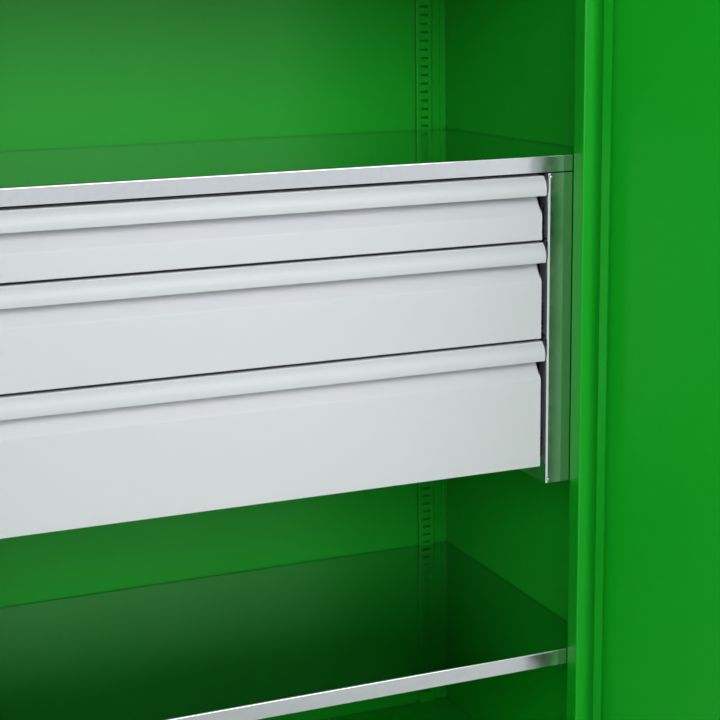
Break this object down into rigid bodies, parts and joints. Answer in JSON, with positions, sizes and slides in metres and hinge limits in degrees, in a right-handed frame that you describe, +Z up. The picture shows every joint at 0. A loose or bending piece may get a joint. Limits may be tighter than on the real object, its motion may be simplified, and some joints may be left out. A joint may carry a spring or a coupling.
{
  "type": "heavy-duty drawer cabinet",
  "caption": "Tall sheet-steel cupboard with hinged double doors, slotted uprights, adjustable galvanised shelves and a hung block of full-width drawers with curved handle strips.",
  "frame": {"origin": "on the floor, at the middle of the base frame's width and of the closed cupboard's depth", "axes": "+X to the right seen from the front, +Y from the doors to the back panel, +Z up"},
  "size_m": [1.5496, 1.0949, 1.95],
  "materials": {
    "green_paint": "satin powder coat",
    "grey_paint": "satin powder coat",
    "galvanised_steel": "galvanised",
    "zinc_plated_steel": "zinc plated",
    "black_plastic": "fine grain",
    "black_rubber": "matt"
  },
  "bodies": {
    "cabinet": {"base_frame": "green_paint", "floor_panel": "green_paint", "side_panel_left": "green_paint", "side_panel_right": "green_paint", "back_panel": "green_paint", "roof_panel": "green_paint", "front_post_left": "green_paint", "front_post_right": "green_paint", "rear_upright_left": "green_paint", "rear_upright_right": "green_paint", "header_rail": "green_paint", "sill_rail": "green_paint", "shelf_at_top": "galvanised_steel", "shelf_above_drawers": "galvanised_steel", "shelf_below_drawers": "galvanised_steel", "shelf_clips": "galvanised_steel", "drawer_bracket_left": "galvanised_steel", "drawer_bracket_right": "galvanised_steel", "tie_bars": "galvanised_steel", "slide_fixed_one": "zinc_plated_steel", "slide_fixed_two": "zinc_plated_steel", "slide_fixed_three": "zinc_plated_steel", "hinge_brackets": "zinc_plated_steel", "hinge_pins": "zinc_plated_steel", "hinge_screws": "zinc_plated_steel", "door_buffers": "black_rubber"},
    "door_left": {"door_skin_left": "green_paint", "hinge_bushes_left": "zinc_plated_steel", "overlap_strip": "green_paint"},
    "door_right": {"door_skin_right": "green_paint", "hinge_bushes_right": "zinc_plated_steel", "handle_plate": "black_plastic", "lock_case": "galvanised_steel", "rod_guides": "black_plastic"},
    "lever": {"door_lever": "black_plastic", "lock_cam": "zinc_plated_steel"},
    "key": {"key_barrel": "zinc_plated_steel"},
    "rod_up": {"rod_upper": "zinc_plated_steel"},
    "rod_down": {"rod_lower": "zinc_plated_steel"},
    "slide_one": {"slide_middle_one": "zinc_plated_steel"},
    "drawer_one": {"slide_drawer_one": "zinc_plated_steel", "drawer_tub_one": "grey_paint", "drawer_front_one": "grey_paint", "drawer_handle_one": "grey_paint"},
    "slide_two": {"slide_middle_two": "zinc_plated_steel"},
    "drawer_two": {"slide_drawer_two": "zinc_plated_steel", "drawer_tub_two": "grey_paint", "drawer_front_two": "grey_paint", "drawer_handle_two": "grey_paint"},
    "slide_three": {"slide_middle_three": "zinc_plated_steel"},
    "drawer_three": {"slide_drawer_three": "zinc_plated_steel", "drawer_tub_three": "grey_paint", "drawer_front_three": "grey_paint", "drawer_handle_three": "grey_paint"}
  },
  "joints": [
    {"name": "door_left_hinge", "type": "hinge", "parent": "cabinet", "child": "door_left", "pos_m": [-0.535, -0.293, 1], "axis": [0, 0, -1], "range_deg": [-115, 20]},
    {"name": "door_right_hinge", "type": "hinge", "parent": "cabinet", "child": "door_right", "pos_m": [0.535, -0.293, 1], "axis": [0, 0, 1], "range_deg": [-115, 20]},
    {"name": "drawer_one_slide", "type": "slide", "parent": "cabinet", "child": "drawer_one", "axis": [0, -1, 0], "range_m": [0, 0.45]},
    {"name": "slide_one_run", "type": "slide", "parent": "cabinet", "child": "slide_one", "axis": [0, -1, 0], "range_m": [0, 0.225]},
    {"name": "drawer_two_slide", "type": "slide", "parent": "cabinet", "child": "drawer_two", "axis": [0, -1, 0], "range_m": [0, 0.45]},
    {"name": "slide_two_run", "type": "slide", "parent": "cabinet", "child": "slide_two", "axis": [0, -1, 0], "range_m": [0, 0.225]},
    {"name": "drawer_three_slide", "type": "slide", "parent": "cabinet", "child": "drawer_three", "axis": [0, -1, 0], "range_m": [0, 0.45]},
    {"name": "slide_three_run", "type": "slide", "parent": "cabinet", "child": "slide_three", "axis": [0, -1, 0], "range_m": [0, 0.225]},
    {"name": "lever_turn", "type": "hinge", "parent": "door_right", "child": "lever", "pos_m": [0.76812, -0.73378, 1.05], "axis": [0.9063, 0.4226, 0], "range_deg": [-90, 0]},
    {"name": "key_turn", "type": "hinge", "parent": "door_right", "child": "key", "pos_m": [0.75906, -0.738, 1.002], "axis": [0.9063, 0.4226, 0], "range_deg": [0, 90]},
    {"name": "rod_up_run", "type": "slide", "parent": "door_right", "child": "rod_up", "axis": [0, 0, 1], "range_m": [0, 0.0205]},
    {"name": "rod_down_run", "type": "slide", "parent": "door_right", "child": "rod_down", "axis": [0, 0, -1], "range_m": [0, 0.0205]}
  ],
  "couplings": [
    {"joint": "slide_one_run", "follows": "drawer_one_slide", "ratio": 0.5},
    {"joint": "slide_two_run", "follows": "drawer_two_slide", "ratio": 0.5},
    {"joint": "slide_three_run", "follows": "drawer_three_slide", "ratio": 0.5},
    {"joint": "rod_up_run", "follows": "lever_turn", "m_per_rad": -0.012732},
    {"joint": "rod_down_run", "follows": "lever_turn", "m_per_rad": -0.012732}
  ]
}
